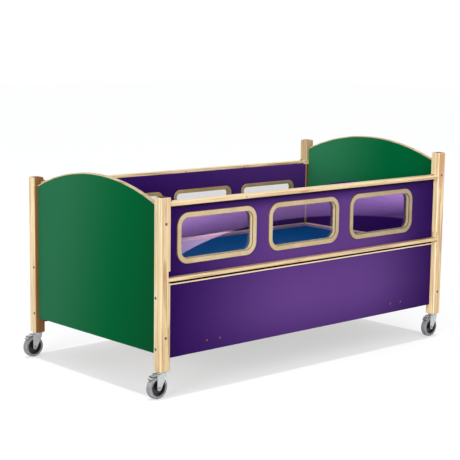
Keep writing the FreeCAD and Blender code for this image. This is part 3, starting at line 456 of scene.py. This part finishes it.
# The liner purple is deeper-toned but lighter than the sides': painted light, as these boards stand in shade
# inside the cot.
LIGHTENED_LINER_PURPLE = laminate("purple_liner", srgb(66, 22, 124), OPEN_PURPLE, PURPLE_SCUFF, liner_sheen,
                        shade=lit_slit, painted_tone=SLIT_LIGHT_LILAC)
# The head board is the foot board's laminate in lighter tones: painted light for the head end. Both take
# painted sheen and painted shade across their width.
GREEN, LIGHTENED_HEAD_GREEN = [laminate(name, deep, light, srgb(30, 170, 120), end_sheen, shade=end_shade, gloss=0.01)
                     for name, deep, light in (("green_board", srgb(0, 94, 49), srgb(42, 112, 76)),
                                               ("green_head_board", srgb(0, 110, 60), srgb(52, 137, 92)))]
DARK_STEEL = plated("bolt_steel", srgb(118, 120, 126), srgb(78, 80, 86), 0.38)
ZINC = plated("zinc_plate", srgb(186, 188, 192), srgb(140, 143, 148), 0.34)
CASTOR_ZINC = plated("castor_zinc", srgb(226, 229, 226), srgb(158, 162, 163), 0.34, 90, bare=0.8)
PEDAL_ZINC = plated("pedal_zinc", srgb(214, 217, 214), srgb(150, 154, 154), 0.4, 70, pedal_shade, bare=0.5)
BRASS = plated("screw_brass", srgb(150, 118, 66), srgb(104, 78, 40), 0.34, 90)
# The front beads are paler than the rings: painted light, as they sit in shade behind the panes.
RING, LIGHTENED_BEAD, TAN_BEAD = [moulding(name, *(srgb(*tone) for tone in tones)) for name, *tones in (
    ("window_ring", (216, 194, 154), (198, 174, 130), (160, 134, 90), (120, 94, 50)),
    ("window_bead", (250, 228, 178), (238, 212, 156), (206, 178, 122), (150, 124, 70)),
    ("tan_bead", (222, 192, 130), (204, 172, 108), (166, 136, 80), (120, 94, 50)))]
ACRYLIC = clear_sheet("clear_acrylic", (0.97, 0.97, 0.99))
# The back panes are the same acrylic with a greyer tint: painted shade.
SHADED_ACRYLIC = clear_sheet("shaded_acrylic", (0.76, 0.765, 0.76))
CORE = core_plastic()
TYRE = tyre_rubber()
COVER = cover_fabric()

DRESS = {
    "post_": WOOD["z"],
    "foot_panel_edging": FOOT_ARCH,
    "head_panel_edging": HEAD_ARCH,
    "foot_panel": GREEN,
    "head_panel": LIGHTENED_HEAD_GREEN,
    "foot_liner": LIGHTENED_LINER_PURPLE,
    "head_liner": LIGHTENED_LINER_PURPLE,
    "base_end_boards": LIGHTENED_LINER_PURPLE,
    "base_edgings": LIGHTENED_INNER_EDGING,
    "lower_panel_": LOWER_PURPLE,
    "upper_panel_": UPPER_PURPLE,
    "top_rail_": WOOD["x"],
    "lower_rail_": WOOD["x"],
    "window_rings_": RING,
    "window_beads_front": LIGHTENED_BEAD,
    "window_beads_back": TAN_BEAD,
    "window_panes_front": ACRYLIC,
    "window_panes_back": SHADED_ACRYLIC,
    "fold_pins": ZINC,
    "rail_stops": WOOD["x"],
    "latch_": DARK_STEEL,
    "frame_bolts": DARK_STEEL,
    "cross_bar_screws": BRASS,
    "cross_bars": WOOD["y"],
    "slat_bearers": WOOD["x"],
    "slats": WOOD["y"],
    "castor_stems": ZINC,
    "castor_fork_": CASTOR_ZINC,
    "castor_axle_": ZINC,
    "castor_pedal_": PEDAL_ZINC,
    "castor_wheel_": CORE,
    "castor_tyre_": TYRE,
    "mattress": COVER,
}

for node_name, thing in NODES.items():
    key = max((start for start in DRESS if node_name.startswith(start)), key=len)
    for slot in thing.material_slots:
        slot.material = DRESS[key]


# ---- Mattress: a foam pad swollen in its cover, with piped seams ----

def deselect():
    for thing in bpy.context.selected_objects:
        thing.select_set(False)


def settle(thing):
    """Puts the object's turn and place into its mesh."""
    deselect()
    thing.select_set(True)
    bpy.context.view_layer.objects.active = thing
    bpy.ops.object.transform_apply(location=True, rotation=True, scale=True)


def finish_soft(thing, material):
    for polygon in thing.data.polygons:
        polygon.use_smooth = True
    thing.data.materials.clear()
    thing.data.materials.append(material)


def make_mattress():
    """A bevelled pad that swells under pressure, no point by more than a cap, on its flat underside."""
    low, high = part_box("mattress")
    inset, cap, steps = 0.0025, 0.005, 14
    middle = (low + high) / 2
    deselect()
    bpy.ops.mesh.primitive_cube_add(size=1, location=(middle.x, middle.y, middle.z - inset / 2))
    pad = bpy.context.active_object
    pad.name = "mattress_pad"
    pad.scale = high - low - Vector((2 * inset, 2 * inset, inset))
    settle(pad)
    bpy.ops.object.mode_set(mode="EDIT")
    bpy.ops.mesh.select_all(action="SELECT")
    bpy.ops.mesh.bevel(offset=0.008, segments=3, affect="EDGES")
    bpy.ops.object.mode_set(mode="OBJECT")
    remesh = pad.modifiers.new("remesh", "REMESH")
    remesh.mode = "VOXEL"
    remesh.voxel_size = 0.012
    bpy.ops.object.modifier_apply(modifier="remesh")
    start = [v.co.copy() for v in pad.data.vertices]
    swell = pad.modifiers.new("swell", "CLOTH")
    swell.settings.use_pressure = True
    swell.settings.uniform_pressure_force = 4
    swell.settings.effector_weights.gravity = 0
    for step in range(1, steps + 1):
        bpy.context.scene.frame_set(step)
    bpy.ops.object.modifier_apply(modifier="swell")
    bpy.context.scene.frame_set(1)
    for vertex, rest in zip(pad.data.vertices, start):
        move = vertex.co - rest
        if move.length > cap:
            move *= cap / move.length
        vertex.co = rest + move
        vertex.co.z = max(vertex.co.z, low.z)
    finish_soft(pad, COVER)
    return pad


def make_rail_screw(name, rail, x):
    """A domed screw head in a top rail, on its face towards -Y."""
    low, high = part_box(rail)
    radius, dome = 0.0036, 0.0014
    place = Vector((x, low.y, (low.z + high.z) / 2))
    deselect()
    bpy.ops.mesh.primitive_uv_sphere_add(segments=20, ring_count=12, radius=1, location=place,
                                         rotation=(math.pi / 2, 0, 0))
    screw = bpy.context.active_object
    screw.name = name
    screw.scale = (radius, radius, dome)
    settle(screw)
    finish_soft(screw, DARK_STEEL)
    return screw


def make_piping(level, name):
    """A welted seam round the mattress at one level."""
    low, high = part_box("mattress")
    inset, corner, thickness = 0.0035, 0.022, 0.0028
    deselect()
    bpy.ops.mesh.primitive_plane_add(size=1, location=((low.x + high.x) / 2, (low.y + high.y) / 2, level))
    path = bpy.context.active_object
    path.name = name
    path.scale = (high.x - low.x - 2 * inset, high.y - low.y - 2 * inset, 1)
    settle(path)
    bpy.ops.object.mode_set(mode="EDIT")
    bpy.ops.mesh.select_all(action="SELECT")
    bpy.ops.mesh.bevel(offset=corner, segments=6, affect="VERTICES")
    bpy.ops.mesh.delete(type="ONLY_FACE")
    bpy.ops.object.mode_set(mode="OBJECT")
    bpy.ops.object.convert(target="CURVE")
    path.data.bevel_depth = thickness
    path.data.bevel_resolution = 3
    bpy.ops.object.convert(target="MESH")
    finish_soft(path, COVER)
    return path


SEAM_IN = 0.014    # from the mattress's top and bottom to its seams

mattress = make_mattress()
top_seam = make_piping(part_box("mattress")[1].z - SEAM_IN, "mattress_top_seam")
low_seam = make_piping(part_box("mattress")[0].z + SEAM_IN, "mattress_low_seam")
for piece in (mattress, top_seam, low_seam):
    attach(piece, "frame")
for name, rail, x, body in (("rail_screw_front", "top_rail_front", -0.463, "side_front"),
                            ("rail_screw_back_middle", "top_rail_back", 0.021, "side_back"),
                            ("rail_screw_back_head", "top_rail_back", 0.465, "side_back")):
    screw = make_rail_screw(name, rail, x)
    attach(screw, body)
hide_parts("mattress")


# ---- Floor, light and camera ----

def make_floor():
    """A floor that takes shadows but looks white where nothing shades it."""
    deselect()
    bpy.ops.mesh.primitive_plane_add(size=60, location=(0, 0, 0))
    floor = bpy.context.active_object
    floor.name = "studio_floor"
    shade = Finish("pale_floor", Base_Color=(0.446, 0.446, 0.446), Roughness=0.9, Specular_IOR_Level=0.0)
    glow = shade.node("ShaderNodeEmission", Color=(1, 1, 1), Strength=shade.plain_sight() * 0.5)
    shade.surface(shade.node("ShaderNodeAddShader", _0=shade.shader, _1=glow))
    floor.data.materials.append(shade.material)


def make_world(level):
    """A sky that lights the cot at the given level and looks plain white."""
    world = bpy.data.worlds.new("studio")
    bpy.context.scene.world = world
    world.use_nodes = True
    sky = Graph(world.node_tree)
    lit = sky.node("ShaderNodeBackground", Color=(0.98, 0.99, 1.0), Strength=level)
    white = sky.node("ShaderNodeBackground", Color=(1, 1, 1), Strength=1.0)
    both = sky.node("ShaderNodeMixShader", _0=sky.plain_sight(), _1=lit, _2=white)
    sky.node("ShaderNodeOutputWorld", Surface=both)


def make_gloss_card():
    """A dark card with a glowing lilac sweep, standing in front of the cot where its front windows mirror it:
    a painted reflection that is seen only in reflections. The sweep's lower edge is a curve along the card,
    and the veil fades along and above it. A brighter triangle fills the corner between that edge and a nearly
    level line."""
    middle, width, height = Vector((1.75, -2.2, 0.36)), 3.0, 0.62
    deselect()
    bpy.ops.mesh.primitive_plane_add(size=1, location=middle, rotation=(-math.pi / 2, 0, 0))
    card = bpy.context.active_object
    card.name = "gloss_card"
    card.scale = (width, height, 1)
    settle(card)
    shade = Finish("gloss_card", Base_Color=(0, 0, 0), Roughness=1.0, Specular_IOR_Level=0.0)
    x, y, z = shade.axes(shade.here())
    along = x - 1.8
    sweep = 0.4055 + along * (-0.0356 + along * (-0.0764 + along * (0.0288 - along * 0.0148)))
    above_sweep = shade.spread(z - sweep, -0.003, 0.003)
    fall = 1.0 + (x - middle.x) ** 2.0
    veil = (0.088 + (z - 0.4).most(-0.05) * 1.2) * fall * above_sweep
    line = z - 0.3605 - (x - 0.6) * 0.05
    corner = (1.0 - shade.spread(line, -0.002, 0.002)) * (1.0 - shade.spread(x, 0.95, 1.1)) * above_sweep
    corner = corner * (0.72 + shade.spread(x, 0.58, 0.85) * 0.28)
    hue = shade.blend(corner, (0.75, 0.41, 1.06), (1.0, 0.62, 0.87))
    glow = shade.node("ShaderNodeEmission", Color=hue, Strength=(veil + corner * 0.35) * 11.5)
    clear = shade.node("ShaderNodeBsdfTransparent")
    through = shade.node("ShaderNodeLightPath", out="Is Transmission Ray")
    bounced = shade.node("ShaderNodeLightPath", out="Glossy Depth") > 0.5
    shade.surface(shade.node("ShaderNodeMixShader", _0=through * (1.0 - bounced), _1=glow, _2=clear))
    card.data.materials.append(shade.material)
    card.visible_camera = False
    card.visible_diffuse = False
    card.visible_shadow = False
    card.visible_volume_scatter = False


def lamp(name, kind, place, aim, power, **sizes):
    """A light at a place, aimed at a point, that itself shows neither directly nor mirrored."""
    light = bpy.data.lights.new(name, kind)
    light.energy = power
    for key, value in sizes.items():
        setattr(light, key, value)
    thing = bpy.data.objects.new(name, light)
    bpy.context.scene.collection.objects.link(thing)
    thing.location = place
    thing.rotation_euler = (Vector(aim) - Vector(place)).to_track_quat("-Z", "Y").to_euler()
    thing.visible_camera = False
    thing.visible_glossy = False


def make_camera():
    """Looks along the cot's diagonal from the foot end's front corner, a little downwards."""
    yaw, dip, roll = (math.radians(angle) for angle in (42.42, 8.70, 0.77))
    place, focal_widths = (-4.54945, -4.8904, 1.6512), 1267.8 / 460
    ahead = Vector((math.sin(yaw) * math.cos(dip), math.cos(yaw) * math.cos(dip), -math.sin(dip)))
    right = Vector((math.cos(yaw), -math.sin(yaw), 0))
    up = right.cross(ahead)
    tilted_right = math.cos(roll) * right + math.sin(roll) * up
    tilted_up = -math.sin(roll) * right + math.cos(roll) * up
    data = bpy.data.cameras.new("portrait_camera")
    data.sensor_width = 36
    data.lens = focal_widths * data.sensor_width
    data.clip_end = 100
    camera = bpy.data.objects.new("portrait_camera", data)
    bpy.context.scene.collection.objects.link(camera)
    turn = Matrix((tilted_right, tilted_up, -ahead)).transposed().to_4x4()
    camera.matrix_world = Matrix.Translation(place) @ turn
    bpy.context.scene.camera = camera


make_floor()
make_world(level=0.65)
make_gloss_card()
lamp("overhead", "SUN", place=(0.17, 0.05, 6), aim=(0, 0, 0), power=1.43, angle=math.radians(0.7))
lamp("foot_key", "AREA", place=(-6.5, -2.0, 1.9), aim=(0, 0, 0.6), power=266,
     shape="RECTANGLE", size=3.0, size_y=1.6)
lamp("side_fill", "AREA", place=(-1.0, -7.0, 1.6), aim=(0, 0, 0.5), power=234,
     shape="RECTANGLE", size=3.0, size_y=1.6)
make_camera()
bpy.context.scene.view_settings.view_transform = "Standard"
